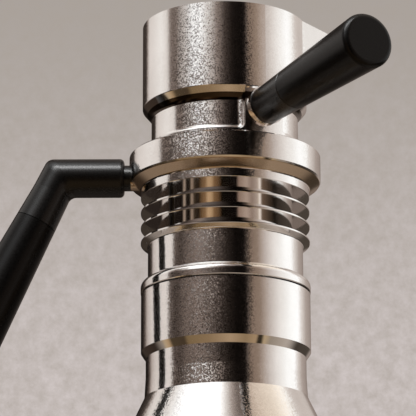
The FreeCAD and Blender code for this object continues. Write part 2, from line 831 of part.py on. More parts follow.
def make_screen():
    top = seal_seat + size.screen_thickness
    screw = size.stud_radius / 2
    body = new_body("dispersion_screen")
    turn(body, "screen_turning", [
        (screw + size.fit_gap, seal_seat), (size.screen_radius, seal_seat), (size.screen_radius, top),
        (screw + size.fit_gap, top)])
    hole = drill(body, "screen_hole", "XY_Plane", top, size.screen_hole_circle, 0, size.screen_hole_radius,
                 size.screen_thickness)
    repeat_round(body, "screen_holes", hole, RING_HOLES * 2)
    bottom = seal_seat - size.spread_depth - size.screen_screw_reach
    head_top = top + size.screen_screw_head
    turned_piece("screen_screw", [
        (0, bottom), (screw, bottom), (screw, top), (screw * 2, top), (screw * 2, head_top), (0, head_top)])


# Portafilter: bayonet skirt, milled recess with the handle boss, and the cup with its lip

def pot_placement():
    """The portafilter's own frame: +X runs along its handle."""
    return Placement(Vector(), Rotation(Vector(0, 0, 1), size.pot_handle_azimuth.value))


def pot_handle_direction():
    azimuth, tilt = (math.radians(angle.value) for angle in (size.pot_handle_azimuth, size.pot_handle_tilt))
    return Vector(math.cos(azimuth) * math.cos(tilt), math.sin(azimuth) * math.cos(tilt), math.sin(tilt))


def pot_handle_point(reach):
    return Vector(0, 0, pot_handle_height.value) + pot_handle_direction() * reach


def lip_solid(inset, top):
    """The pour lip without its hollow, or the hollow itself when it is inset by the wall.

    A cone flares from the cup to the rim, and two upright flanks cut it to a beak with a round nose.
    """
    half = math.radians(size.lip_half_angle.value)
    spread = math.radians(size.lip_spread.value)
    cup = size.cup_radius.value
    point = cup * math.cos(spread) + cup * math.sin(spread) / math.tan(half)
    middle = point - size.lip_round.value / math.sin(half)
    nose = size.lip_round.value - inset
    root = middle / 2

    def flank(side):
        across = (middle + nose / math.sin(half) - root) * math.tan(half)
        return (Vector(root, side * across, 0),
                Vector(middle + nose * math.sin(half), side * nose * math.cos(half), 0))
    left_root, left_tip = flank(1)
    right_root, right_tip = flank(-1)
    plan = Part.Wire([
        Part.LineSegment(left_root, left_tip).toShape(),
        Part.Arc(left_tip, Vector(middle + nose, 0, 0), right_tip).toShape(),
        Part.LineSegment(right_tip, right_root).toShape(), Part.LineSegment(right_root, left_root).toShape()])
    bottom = cup_top.value - size.lip_depth.value
    prism = Part.Face(plan).extrude(Vector(0, 0, top - bottom))
    prism.translate(Vector(0, 0, bottom))
    flare = (middle + size.lip_round.value - cup) / size.lip_depth.value
    narrow = cup - size.cup_wall.value / 2 - inset * math.hypot(1, flare)
    cone = Part.makeCone(narrow, narrow + size.cup_wall.value / 2 + flare * (top - bottom), top - bottom,
                         Vector(0, 0, bottom))
    return cone.common(prism)


def make_portafilter_blank():
    """Turned skirt, flange and cup, with the recess milled round to the boss of the handle."""
    body = doc.addObject("PartDesign::Body", "portafilter_blank")
    inner = size.cup_radius - size.cup_wall
    hole = size.column_spigot_radius + size.fit_gap
    slope = (size.cup_radius - size.recess_radius) / size.recess_slope
    boss_top = recess_top + (size.boss_radius - size.recess_radius) / slope
    turn(body, "pot_turning", [
        (size.basket_bore_radius, skirt_bottom), (skirt_radius, skirt_bottom), (skirt_radius, flange_bottom),
        (size.cup_radius, flange_bottom), (size.cup_radius, recess_bottom), (size.boss_radius, recess_bottom),
        (size.boss_radius, boss_top), (size.cup_radius, cup_bottom), (size.cup_radius, cup_top),
        (inner, cup_top), (inner, cup_floor_top), (hole, cup_floor_top), (hole, basket_ceiling),
        (size.basket_bore_radius, basket_ceiling)])
    dress(body, "cup_edge", "Fillet", size.cup_edge_round, ring_edge((size.cup_radius, cup_bottom)))
    dress(body, "cup_floor_round", "Fillet", size.cup_wall, ring_edge((inner, cup_floor_top)))
    turn(body, "recess", [
        (size.recess_radius, recess_bottom), (size.boss_radius, recess_bottom), (size.boss_radius, boss_top),
        (size.recess_radius, recess_top)], angle=dim(360) - size.boss_angle, cut=True, facing=180)
    wall = size.recess_radius.value

    def recess_corner(edge):
        ends = [vertex.Point for vertex in edge.Vertexes]
        if len(ends) != 2:
            return False
        low = all(near(end.z, recess_bottom.value) for end in ends)
        at_wall = [near(math.hypot(end.x, end.y), wall) for end in ends]
        return all(at_wall) or low and any(at_wall)
    dress(body, "recess_cove", "Fillet", size.recess_cove, recess_corner)
    lug_top = lip_under - size.running_gap
    lug_radius = size.bayonet_groove_radius - size.running_gap
    lug_root = skirt_radius - size.cut_margin
    lug = turn(body, "bayonet_lug", [
        (lug_root, lug_top - size.lug_height), (lug_radius, lug_top - size.lug_height),
        (lug_radius, lug_top), (lug_root, lug_top)],
        angle=size.lug_angle, facing=size.pot_handle_azimuth.value - size.bayonet_turn.value)
    repeat_round(body, "bayonet_lugs", lug, BAYONET_LUGS)

    tilt = math.radians(size.pot_handle_tilt.value)
    reach = size.pot_seat_reach.value
    lean = Rotation(Vector(1, 0, 0), -size.pot_handle_tilt.value)
    spot = Vector(0, pot_handle_height.value + reach * math.sin(tilt), reach * math.cos(tilt))
    seat = new_sketch(body, "YZ_Plane", "handle_seat_circle")
    seat.AttachmentOffset = Placement(spot, lean)
    draw_circle(seat, 0, 0, size.pot_seat_radius)
    depth = size.pot_seat_reach - size.recess_radius + size.pot_seat_root
    press(body, "handle_seat", seat, depth, backwards=True)
    hole = new_sketch(body, "YZ_Plane", "handle_hole_circle")
    hole.AttachmentOffset = Placement(spot, lean)
    draw_circle(hole, 0, 0, size.stud_radius + size.fit_gap)
    press(body, "handle_hole", hole, size.pot_stud_inset, cut=True)
    return body


def make_portafilter():
    blank = make_portafilter_blank()
    away = size.lip_angle.value - size.pot_handle_azimuth.value
    turned = Placement(Vector(), Rotation(Vector(0, 0, 1), away))
    wall = size.cup_wall.value
    outer = lip_solid(0, cup_top.value)
    inner = lip_solid(wall, cup_top.value + size.cut_margin.value)
    room = Part.makeCylinder(size.cup_radius.value - wall, size.cup_height.value,
                             Vector(0, 0, cup_floor_top.value + size.cup_wall.value))
    outer.Placement = turned
    inner.Placement = turned
    shape = blank.Shape.fuse(outer).cut(inner).cut(room)
    item = doc.addObject("Part::Feature", "portafilter_body")
    item.Label = "portafilter_body"
    item.Shape = shape.removeSplitter()
    item.Placement = pot_placement()
    return keep(item)


def make_basket():
    top = basket_ceiling - size.running_gap
    bottom = skirt_bottom + size.basket_lift
    rim = bottom + size.basket_rim_height
    outer, wall = size.basket_radius, size.basket_wall
    rim_radius = size.basket_bore_radius - size.basket_slack
    body = new_body("filter_basket")
    turn(body, "basket_turning", [
        (0, top), (outer, top), (outer, rim), (rim_radius, rim), (rim_radius, bottom),
        (outer - wall, bottom), (outer - wall, top - wall), (0, top - wall)])
    dress(body, "basket_corner", "Fillet", size.basket_round, ring_edge((outer, top)))
    for row in (1, 2):
        hole = drill(body, f"basket_hole_{row}", "XY_Plane", top, size.basket_hole_circle * row, 0,
                     size.basket_hole_radius, wall)
        repeat_round(body, f"basket_holes_{row}", hole, RING_HOLES * row)
    wire = size.clip_wire_radius
    middle = (outer + size.basket_bore_radius) / 2
    height = rim + wire + size.basket_slack
    clip = doc.addObject("Part::Torus", "basket_clip")
    clip.Label = "basket_clip"
    bind(clip, "Radius1", middle)
    bind(clip, "Radius2", wire)
    bind(clip, "Angle3", size.clip_angle)
    clip.Placement = Placement(Vector(0, 0, height.value), Rotation(Vector(0, 0, 1), size.clip_start.value))
    keep(clip)


def make_column():
    top = cup_floor_top + size.column_height
    body = new_body("coffee_column")
    turn(body, "column_turning", [
        (size.column_bore_radius, basket_ceiling), (size.column_spigot_radius, basket_ceiling),
        (size.column_spigot_radius, cup_floor_top), (size.column_radius, cup_floor_top),
        (size.column_radius, top), (size.column_bore_radius, top)])
    drill(body, "column_hole", "YZ_Plane", -size.column_radius, 0, top - size.cap_skirt / 2,
          size.column_hole_radius, size.column_radius * 2, backwards=True)
    seal = doc.addObject("Part::Torus", "column_seal")
    seal.Label = "column_seal"
    bind(seal, "Radius1", size.column_radius + size.column_seal_radius)
    bind(seal, "Radius2", size.column_seal_radius)
    seal.Placement = Placement(Vector(0, 0, cup_floor_top.value + size.column_seal_radius.value), Rotation())
    keep(seal)
    plug, plug_foot = size.column_bore_radius - size.fit_gap, top - size.cap_plug
    hollow, skirt_foot = size.cap_radius - size.cap_wall, top - size.cap_skirt
    cap_top = top + size.cap_wall * 2
    turned_piece("column_cap", [
        (0, plug_foot), (plug, plug_foot), (plug, top), (hollow, top), (hollow, skirt_foot),
        (size.cap_radius, skirt_foot), (size.cap_radius, cap_top), (0, cap_top)],
        rounds=[(size.cap_round, (size.cap_radius, cap_top))])


# Handles

def socket_for_stud(body, name, height, depth, backwards=False):
    drill(body, name, "XY_Plane", height, 0, 0, size.stud_radius + size.fit_gap, depth, backwards=backwards)


def make_grip(label, placement, start_radius, length):
    """A turned grip that widens away from its seam and ends in a flat face with a rounded rim."""
    end_radius = start_radius + size.grip_taper * length
    body = new_body(label, placement)
    turn(body, label + "_turning", [(0, 0), (start_radius, 0), (end_radius, length), (0, length)])
    dress(body, label + "_end", "Fillet", size.grip_end_round, ring_edge((end_radius, length)))
    dress(body, label + "_seam", "Chamfer", size.grip_seam_chamfer, ring_edge((start_radius, 0)))
    socket_for_stud(body, label + "_socket", dim(0), size.grip_stud_length / 2, backwards=True)
    return body


def make_stud(label, placement, length):
    item = cylinder(label, size.stud_radius, length, placement)
    item.Label = label
    return keep(item)


def make_pot_handle():
    heading = pot_handle_direction()
    seat = size.pot_seat_reach.value
    make_stud("portafilter_handle_stud", along(heading, pot_handle_point(seat - size.pot_stud_inset.value)),
              size.pot_stud_length)
    body = new_body("portafilter_handle_root", along(heading, pot_handle_point(seat)))
    seam_radius = size.pot_root_radius + size.grip_taper * size.pot_root_length
    turn(body, "root_turning", [
        (0, 0), (size.pot_root_radius, 0), (seam_radius, size.pot_root_length), (0, size.pot_root_length)])
    seam_edge = ring_edge((seam_radius, size.pot_root_length))
    dress(body, "root_seam", "Chamfer", size.grip_seam_chamfer, seam_edge)
    root_depth = size.pot_stud_length - size.pot_stud_inset
    socket_for_stud(body, "root_socket", dim(0), root_depth, backwards=True)
    grip_depth = size.pot_root_length - root_depth - size.stud_end_gap
    socket_for_stud(body, "root_grip_socket", size.pot_root_length, grip_depth)
    seam = seat + size.pot_root_length.value
    make_stud("portafilter_grip_stud", along(heading, pot_handle_point(seam - grip_depth.value)),
              size.grip_stud_length / 2 + grip_depth)
    make_grip("portafilter_handle_grip", along(heading, pot_handle_point(seam)), seam_radius,
              size.pot_grip_length)


def make_lift_handle():
    radius = size.lift_rod_radius.value
    drop = math.radians(size.lift_drop_angle.value)
    out = Vector(-1, 0, 0)
    down = Vector(-math.cos(drop), 0, -math.sin(drop))
    corner = Vector(-size.lift_corner_reach.value, 0, lift_axis_height.value)
    foot = Vector(-lift_seat_reach.value, 0, corner.z)
    root = foot + out * size.lift_neck_length.value

    mitre = (out + down).normalize()
    stretch = radius / math.cos(drop / 2)
    bend = size.lift_bend_round.value
    leg = bend * math.tan(drop / 2)
    overlap = radius * math.tan(drop / 2)
    straight = overlap + leg
    reach = straight + overlap
    path = Part.Wire([
        Part.LineSegment(corner - out * reach, corner - out * leg).toShape(),
        arc_between(corner - out * leg, corner, corner + down * leg),
        Part.LineSegment(corner + down * leg, corner + down * reach).toShape()])
    section = Part.Ellipse(corner - out * reach + Vector(0, 1, 0).cross(mitre) * stretch,
                           corner - out * reach + Vector(0, 1, 0) * radius, corner - out * reach)
    shell = Part.BRepOffsetAPI.MakePipeShell(path)
    shell.setTrihedronMode(Vector(), Vector(0, 1, 0))
    shell.add(Part.Wire([section.toShape()]))
    shell.build()
    shell.makeSolid()
    rod = Part.makeCylinder(radius, (corner - root).Length - straight, root, out)
    rim = [edge for edge in rod.Edges if near(edge.CenterOfMass.x, root.x)]
    rod = rod.makeFillet(size.lift_rim_round.value, rim)
    neck = Part.makeCylinder(size.lift_neck_radius.value, size.lift_neck_length.value, foot, out)
    leg_length = size.lift_leg_length.value
    seam_radius = size.lift_rod_radius + size.grip_taper * (size.lift_leg_length - straight)
    lower = Part.makeCone(radius, seam_radius.value, leg_length - straight, corner + down * straight, down)
    shape = rod.fuse([neck, shell.shape(), lower]).removeSplitter()

    hole = size.stud_radius.value + size.fit_gap.value
    stud_inset = size.lift_stud_inset.value
    shape = shape.cut(Part.makeCylinder(hole, size.lift_stud_length.value - stud_inset, foot, out))
    half = size.grip_stud_length.value / 2
    seam = corner + down * leg_length
    shape = shape.cut(Part.makeCylinder(hole, half, seam - down * half, down))
    item = doc.addObject("Part::Feature", "lift_handle_elbow")
    item.Label = "lift_handle_elbow"
    item.Shape = shape
    keep(item)

    make_stud("lift_handle_stud", along(out, foot - out * stud_inset), size.lift_stud_length)
    make_stud("lift_grip_stud", along(down, seam - down * half), size.grip_stud_length)
    make_grip("lift_handle_grip", along(down, seam), seam_radius, size.lift_grip_length)


make_base_boiler()
make_safety_valve()
make_boiler_seal()
make_boiler_body()
make_regulator()
make_riser()
make_coil()
make_group()
make_group_seals()
make_screen()
make_portafilter()
make_basket()
make_column()
make_pot_handle()
make_lift_handle()
doc.recompute()

for item in doc.Objects:
    if "Invalid" in item.State or "Error" in item.State:
        raise ValueError(f"{item.Label} failed: {item.State}")
for item in pieces:
    if item.Shape.isNull() or not item.Shape.isValid() or not item.Shape.Solids:
        raise ValueError(f"{item.Label} has no valid solid")

os.makedirs("parts", exist_ok=True)
for item in pieces:
    item.Shape.exportStep(f"parts/{item.Label}.step")
    print(f"{item.Label}: {len(item.Shape.Solids)} solid, {item.Shape.Volume / 1000:.2f} cm3")
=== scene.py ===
import math

import bmesh
import bpy
from mathutils import Matrix, Vector


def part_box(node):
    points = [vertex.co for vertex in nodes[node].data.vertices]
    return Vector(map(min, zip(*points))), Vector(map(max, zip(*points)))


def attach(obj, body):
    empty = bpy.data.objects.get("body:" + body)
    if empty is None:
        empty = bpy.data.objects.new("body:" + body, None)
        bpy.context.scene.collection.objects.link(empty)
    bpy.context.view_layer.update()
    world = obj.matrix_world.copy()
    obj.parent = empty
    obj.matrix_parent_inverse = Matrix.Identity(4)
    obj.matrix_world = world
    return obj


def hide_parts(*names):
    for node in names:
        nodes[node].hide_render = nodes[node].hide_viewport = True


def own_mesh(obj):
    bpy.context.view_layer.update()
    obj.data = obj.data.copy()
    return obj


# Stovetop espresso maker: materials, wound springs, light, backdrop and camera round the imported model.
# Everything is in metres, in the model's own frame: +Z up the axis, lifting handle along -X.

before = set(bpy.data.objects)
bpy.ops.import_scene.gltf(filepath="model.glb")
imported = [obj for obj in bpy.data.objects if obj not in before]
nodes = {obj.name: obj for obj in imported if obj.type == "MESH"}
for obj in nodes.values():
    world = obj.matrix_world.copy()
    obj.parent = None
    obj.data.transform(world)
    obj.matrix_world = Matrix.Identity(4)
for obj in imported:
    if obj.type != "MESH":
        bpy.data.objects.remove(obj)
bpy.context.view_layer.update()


def colour(red, green, blue):
    return (red, green, blue, 1.0)


class Tree:
    """Short calls that build one node tree."""

    def __init__(self, owner):
        owner.use_nodes = True
        self.tree = owner.node_tree
        self.tree.nodes.clear()

    def put(self, kind, **settings):
        node = self.tree.nodes.new("ShaderNode" + kind)
        for name, value in settings.items():
            setattr(node, name, value)
        return node

    def join(self, source, target):
        self.tree.links.new(source, target)

    def feed(self, socket, value):
        if isinstance(value, bpy.types.NodeSocket):
            self.join(value, socket)
        else:
            socket.default_value = value

    def math(self, operation, first, second=0.0):
        node = self.put("Math", operation=operation)
        self.feed(node.inputs[0], first)
        self.feed(node.inputs[1], second)
        return node.outputs[0]

    def product(self, first, *others):
        for other in others:
            first = self.math("MULTIPLY", first, other)
        return first

    def between(self, value, low, high, to_low=0.0, to_high=1.0, smooth=False):
        node = self.put("MapRange", interpolation_type="SMOOTHSTEP" if smooth else "LINEAR")
        self.feed(node.inputs["Value"], value)
        limits = {"From Min": low, "From Max": high, "To Min": to_low, "To Max": to_high}
        for name, number in limits.items():
            self.feed(node.inputs[name], number)
        return node.outputs["Result"]

    def mix(self, factor, first, second, blend="MIX"):
        node = self.put("Mix", data_type="RGBA", blend_type=blend)
        self.feed(node.inputs["Factor"], factor)
        self.feed(node.inputs["A"], first)
        self.feed(node.inputs["B"], second)
        return node.outputs["Result"]

    def vector(self, operation, *values):
        node = self.put("VectorMath", operation=operation)
        for socket, value in zip(node.inputs, values):
            self.feed(socket, value)
        return node.outputs[0]

    def parts(self, vector):
        """The X, Y and Z of a vector."""
        node = self.put("SeparateXYZ")
        self.join(vector, node.inputs[0])
        return node.outputs

    def noise(self, place, scale, detail=2.0, roughness=0.5):
        node = self.put("TexNoise")
        self.feed(node.inputs["Vector"], place)
        node.inputs["Scale"].default_value = scale
        node.inputs["Detail"].default_value = detail
        node.inputs["Roughness"].default_value = roughness
        return node.outputs["Fac"]

    def ramp(self, value, stops):
        node = self.put("ValToRGB")
        self.feed(node.inputs["Fac"], value)
        elements = node.color_ramp.elements
        for position, _ in stops[2:]:
            elements.new(position)
        for element, (position, tone) in zip(elements, sorted(stops)):
            element.position = position
            element.color = tone
        return node.outputs["Color"]

    def bump(self, height, strength, distance, normal=None):
        node = self.put("Bump")
        node.inputs["Strength"].default_value = strength
        node.inputs["Distance"].default_value = distance
        self.feed(node.inputs["Height"], height)
        if normal:
            self.join(normal, node.inputs["Normal"])
        return node.outputs["Normal"]


# Materials

# Grains to the metre on the blasted metal, and how far a grain's facet leans along each axis.
GRAIN_SCALE = 2600.0
GRAIN_LEAN = (0.018, 0.018, 0.13)

# The finer grains that the group and the cup have, as shares of that lean.
GROUP_GRAIN = 0.72
CUP_GRAIN = 0.62

# Height from one turning line to the next, and how deep the lines are cut.
LINE_PITCH = 0.00045
LINE_DEPTH = 0.00002

# Turned faces that the grain leaves out: lowest and highest height, inner and outer radius, roughness.
DRUM_CHAMFER = (0.0905, 0.0934, 0.0, 0.0334, 0.07)
FINS = (0.1366, 0.1556, 0.0, 0.0345, 0.07)
COLLAR_SLOPE = (0.1592, 0.1621, 0.0, 0.0381, 0.17)
CUP_UNDERSIDE = (0.1880, 0.1931, 0.0, 0.0330, 0.10)
LIP = (0.1960, 0.2600, 0.0333, 0.1000, 0.16)

# Painted shade: a dark brown tint painted under the cup's edge, in its recess, and a brown tint painted on
# the collar's underside as painted warm reflection and shade. For each: lowest and highest height, inner
# and outer radius, and the tint.
CUP_PAINTED_SHADE = (0.1880, 0.1908, 0.0, 0.0322, colour(0.06, 0.045, 0.033))
COLLAR_PAINTED_SHADE = (0.1592, 0.1621, 0.0, 0.0381, colour(0.56, 0.44, 0.32))


def surface(name):
    """A new material with a Principled shader, and the place on the piece that its patterns follow."""
    material = bpy.data.materials.new(name)
    tree = Tree(material)
    shader = tree.put("BsdfPrincipled")
    output = tree.put("OutputMaterial")
    tree.join(shader.outputs["BSDF"], output.inputs["Surface"])
    place = tree.put("TexCoord").outputs["Object"]
    return material, tree, shader, place


def zone(tree, place, low, high, inner, outer):
    """1 where the place is between two heights and two radii, else 0."""
    across, depth, height = tree.parts(place)
    squares = [tree.math("POWER", side, 2.0) for side in (across, depth)]
    reach = tree.math("SQRT", tree.math("ADD", *squares))
    return tree.product(
        tree.math("LESS_THAN", reach, outer), tree.math("GREATER_THAN", reach, inner),
        tree.math("GREATER_THAN", height, low), tree.math("LESS_THAN", height, high))


def blasted_metal(name, tint, dark_tint, roughness, grain=1.0, lines=0.0, turned_zones=(), painted_shade=None):
    """Satin metal with a fine blasted grain, faint cloudy wear and, where asked, turning lines.

    Each grain is a tiny facet of its own lean, mostly up or down, and some grains are duller.
    The turned zones are left without the grain, and the zone of painted shade is tinted over the base
    colour.
    """
    material, tree, shader, place = surface(name)
    shader.inputs["Metallic"].default_value = 1.0
    cloud = tree.noise(place, 55.0, 4.0, 0.6)
    tone = tree.mix(tree.between(cloud, 0.3, 0.7, 0.5, 1.0), dark_tint, tint)
    # Painted shade: in its zone the base colour gives way to a darker brown tint.
    if painted_shade:
        *limits, painted_shade_tint = painted_shade
        tone = tree.mix(zone(tree, place, *limits), tone, painted_shade_tint)
    tree.join(tone, shader.inputs["Base Color"])

    dull = tree.noise(place, GRAIN_SCALE * 1.2, 0.0)
    dull = tree.between(dull, 0.45, 0.62, roughness * 0.5, roughness * 1.6)
    cells = tree.put("TexVoronoi")
    cells.inputs["Scale"].default_value = GRAIN_SCALE
    tree.join(place, cells.inputs["Vector"])
    lean = [amount * grain for amount in GRAIN_LEAN]
    tilt = tree.vector("MULTIPLY_ADD", cells.outputs["Color"], lean, [amount / -2 for amount in lean])
    for *limits, smoothness in turned_zones:
        turned = zone(tree, place, *limits)
        dull = tree.between(turned, 0.0, 1.0, dull, smoothness)
        tilt = tree.vector("MULTIPLY", tilt, tree.math("SUBTRACT", 1.0, turned))
    tree.join(dull, shader.inputs["Roughness"])

    face = tree.put("NewGeometry").outputs["Normal"]
    normal = tree.vector("NORMALIZE", tree.vector("ADD", face, tilt))
    if lines:
        height = tree.parts(place)["Z"]
        wave = tree.math("SINE", tree.math("MULTIPLY", height, 2 * math.pi / LINE_PITCH))
        normal = tree.bump(wave, lines, LINE_DEPTH, normal)
    tree.join(normal, shader.inputs["Normal"])
    return material


def satin_nickel(name, grain=1.0, turned_zones=(), painted_shade=None):
    return blasted_metal(
        name, colour(0.90, 0.885, 0.875), colour(0.76, 0.74, 0.72), roughness=0.10,
        grain=grain, turned_zones=turned_zones, painted_shade=painted_shade)


def turned_brass():
    return blasted_metal(
        "turned_brass", colour(0.86, 0.66, 0.36), colour(0.72, 0.50, 0.24), roughness=0.2,
        grain=0.5, lines=0.3)


def turned_steel():
    return blasted_metal(
        "turned_steel", colour(0.72, 0.71, 0.69), colour(0.58, 0.56, 0.54), roughness=0.2,
        grain=0.4, lines=0.3)


def copper_tube():
    return blasted_metal(
        "copper_tube", colour(0.90, 0.55, 0.40), colour(0.66, 0.34, 0.22), roughness=0.24, grain=0.4)


def spring_steel():
    return blasted_metal(
        "spring_steel", colour(0.62, 0.60, 0.57), colour(0.42, 0.40, 0.37), roughness=0.22, grain=0.3)


def black_finish(name, tone, roughness, gloss, grain_scale, depth):
    """Satin black with a fine matt grain and slight wear."""
    material, tree, shader, place = surface(name)
    cloud = tree.noise(place, 70.0, 3.0, 0.55)
    dark, light = [colour(*[level * share for level in tone]) for share in (0.75, 1.3)]
    tree.join(tree.mix(cloud, dark, light), shader.inputs["Base Color"])
    grain = tree.noise(place, grain_scale, 3.0, 0.6)
    tree.join(tree.between(grain, 0.3, 0.7, roughness * 0.85, roughness * 1.15), shader.inputs["Roughness"])
    tree.join(tree.bump(grain, 0.10, depth), shader.inputs["Normal"])
    shader.inputs["Specular IOR Level"].default_value = gloss
    return material


def black_coating():
    return black_finish(
        "black_coated_metal", (0.0018, 0.0016, 0.0015), roughness=0.30, gloss=0.40,
        grain_scale=1700.0, depth=0.00003)


def black_plastic():
    return black_finish(
        "black_grip", (0.0016, 0.0014, 0.0013), roughness=0.31, gloss=0.21,
        grain_scale=1300.0, depth=0.00004)


def rubber(name, tone):
    """Dull rubber with a fine uneven skin."""
    material, tree, shader, place = surface(name)
    cloud = tree.noise(place, 160.0, 3.0)
    dark = colour(*[level * 0.8 for level in tone])
    tree.join(tree.mix(cloud, dark, colour(*tone)), shader.inputs["Base Color"])
    grain = tree.noise(place, 1500.0, 2.0)
    tree.join(tree.between(grain, 0.3, 0.7, 0.5, 0.68), shader.inputs["Roughness"])
    tree.join(tree.bump(grain, 0.4, 0.00005), shader.inputs["Normal"])
    return material


nickel = satin_nickel("satin_nickel")
body_nickel = satin_nickel("satin_nickel_body", turned_zones=[DRUM_CHAMFER])
# The group carries painted warm reflection and shade on the collar's underside.
group_nickel = satin_nickel("satin_nickel_group", GROUP_GRAIN, [FINS, COLLAR_SLOPE], COLLAR_PAINTED_SHADE)
# The cup carries painted shade under its edge, in the recess.
cup_nickel = satin_nickel("satin_nickel_cup", CUP_GRAIN, [CUP_UNDERSIDE, LIP], CUP_PAINTED_SHADE)
brass = turned_brass()
steel = turned_steel()
copper = copper_tube()
spring = spring_steel()
black_metal = black_coating()
black_grip = black_plastic()
seal = rubber("red_brown_seal", (0.30, 0.10, 0.055))
dark_seal = rubber("dark_seal", (0.04, 0.036, 0.034))

FINISHES = {
    nickel: ["base_boiler", "column_cap", "coffee_column"],
    body_nickel: ["boiler_body"],
    group_nickel: ["group_body"],
    cup_nickel: ["portafilter_body"],
    brass: ["safety_valve_body", "safety_valve_cap", "safety_valve_poppet", "regulator_housing",
            "regulator_adjuster", "regulator_piston", "coil_inlet_union", "coil_outlet_union"],
    steel: ["riser_tube", "riser_strainer", "dispersion_screen", "screen_screw", "filter_basket",
            "portafilter_handle_stud", "portafilter_grip_stud", "lift_handle_stud", "lift_grip_stud"],
    copper: ["cooling_coil"],
    spring: ["safety_valve_spring", "regulator_spring", "basket_clip"],
    black_metal: ["lift_handle_elbow", "portafilter_handle_root"],
    black_grip: ["lift_handle_grip", "portafilter_handle_grip"],
    seal: ["boiler_seal", "group_seal", "body_joint_seal"],
    dark_seal: ["regulator_seal", "column_seal"],
}


def dress_nodes():
    """Each CAD node in its finish."""
    for finish, names in FINISHES.items():
        for name in names:
            nodes[name].data.materials.clear()
            nodes[name].data.materials.append(finish)


# Pieces that only the scene holds

# Springs: CAD node, body, joint, travel, axis, turns and wire radius.
SPRINGS = [
    ("safety_valve_spring", "base", "relief_lift", 0.0010, Vector((0, 1, 0)), 4, 0.00035),
    ("regulator_spring", "upper", "regulator_lift", 0.0015, Vector((0, 0, 1)), 5, 0.00045)]
SPRING_STEPS = 40
WIRE_SIDES = 12

# The thread's rise in one turn, the height that its middle starts from, its turns, the radii of its root
# and crest, half its width at both, and the share of its length over which each end fades into the wall.
THREAD_PITCH = 0.003
THREAD_START = 0.0347
THREAD_TURNS = 1.6
THREAD_ROOT = 0.0437
THREAD_CREST = 0.0441
THREAD_HALF_FOOT = 0.0008
THREAD_HALF_CREST = 0.0002
THREAD_RUN_OUT = 0.12
THREAD_STEPS = 192


def show(name, data):
    """A mesh, lamp or camera as an object of the scene."""
    item = bpy.data.objects.new(name, data)
    bpy.context.scene.collection.objects.link(item)
    return item


def swept_mesh(name, rings, capped):
    """A piece skinned over rings of points, all with the same count, in order along it."""
    skin = bmesh.new()
    rows = [[skin.verts.new(point) for point in ring] for ring in rings]
    count = len(rows[0])
    for lower, upper in zip(rows, rows[1:]):
        for index in range(count):
            following = (index + 1) % count
            skin.faces.new((lower[index], upper[index], upper[following], lower[following]))
    if capped:
        skin.faces.new(rows[0])
        skin.faces.new(rows[-1])
    bmesh.ops.recalc_face_normals(skin, faces=skin.faces)
    mesh = bpy.data.meshes.new(name)
    skin.to_mesh(mesh)
    skin.free()
    return show(name, mesh)


def make_spring(node, body, joint, travel, axis, count, wire):
    """A wound spring in the place of its CAD node, hung on its body; the CAD node is hidden."""
    low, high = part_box(node)
    middle, span = (low + high) / 2, high - low
    across = Vector((1, 0, 0))
    aside = axis.cross(across)
    radius = span.x / 2 - wire
    length = span.dot(axis)
    sides = [2 * math.pi * index / WIRE_SIDES for index in range(WIRE_SIDES)]
    rings = []
    for step in range(count * SPRING_STEPS + 1):
        angle = 2 * math.pi * step / SPRING_STEPS
        outward = across * math.cos(angle) + aside * math.sin(angle)
        along = wire - length / 2 + (length - 2 * wire) * step / (count * SPRING_STEPS)
        centre = middle + outward * radius + axis * along
        rings.append([centre + outward * wire * math.cos(side) + axis * wire * math.sin(side)
                      for side in sides])
    item = swept_mesh(node + "_wound", rings, capped=True)
    for polygon in item.data.polygons:
        polygon.use_smooth = len(polygon.vertices) == 4
    item.data.materials.append(spring)
    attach(item, body)
    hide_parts(node)
    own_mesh(item)


def make_spigot_thread():
    """The single-start thread round the base's spigot, fading into the wall at both ends."""
    rings = []
    for step in range(THREAD_STEPS + 1):
        along = step / THREAD_STEPS
        angle = 2 * math.pi * THREAD_TURNS * along
        middle = THREAD_START + THREAD_PITCH * THREAD_TURNS * along
        share = min(1.0, along / THREAD_RUN_OUT, (1 - along) / THREAD_RUN_OUT)
        crest = THREAD_ROOT + (THREAD_CREST - THREAD_ROOT) * share
        profile = [(THREAD_ROOT, -THREAD_HALF_FOOT), (crest, -THREAD_HALF_CREST),
                   (crest, THREAD_HALF_CREST), (THREAD_ROOT, THREAD_HALF_FOOT)]
        rings.append([(radius * math.cos(angle), radius * math.sin(angle), middle + rise)
                      for radius, rise in profile])
    thread = swept_mesh("spigot_thread", rings, capped=False)
    thread.data.materials.append(nickel)
    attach(thread, "base")


# Light

# The light tent is a wall of panels round the maker. Its middle is at the height TENT_EYE.
TENT_RADIUS = 1.5
TENT_EYE = 0.13

# Rows of (direction in degrees, brightness) round the maker, from the foot of the wall to its top.
# 0 is towards the camera and 90 is to its right.
LOW_PANELS = [
    (-180, 0.02), (-153, 0.01), (-145, 0.05), (-139, 0.17), (-132, 0.48), (-118, 0.70), (-86, 0.78),
    (-82, 0.14), (-77, 0.07), (-70, 0.05), (-57, 0.09), (-33, 0.10), (-21, 0.07), (-9, 0.03), (3, 0.012),
    (14, 0.004), (27, 0.003), (33, 0.20), (37, 0.28), (46, 0.26), (60, 0.56), (76, 0.90), (96, 1.12),
    (113, 1.22), (124, 0.75), (137, 0.45), (180, 0.20)]
WAIST_PANELS = [
    (-180, 0.03), (-146, 0.03), (-141, 0.05), (-136, 0.62), (-128, 0.74), (-104, 0.84), (-85, 0.78),
    (-81, 0.09), (-68, 0.045), (-54, 0.14), (-38, 0.29), (-26, 0.35), (-15, 0.22), (-5, 0.09), (4, 0.025),
    (14, 0.004), (30, 0.004), (35, 0.03), (41, 0.22), (53, 0.40), (64, 0.64), (76, 0.84), (88, 0.98),
    (100, 1.16), (112, 1.10), (120, 0.78), (140, 0.42), (180, 0.20)]
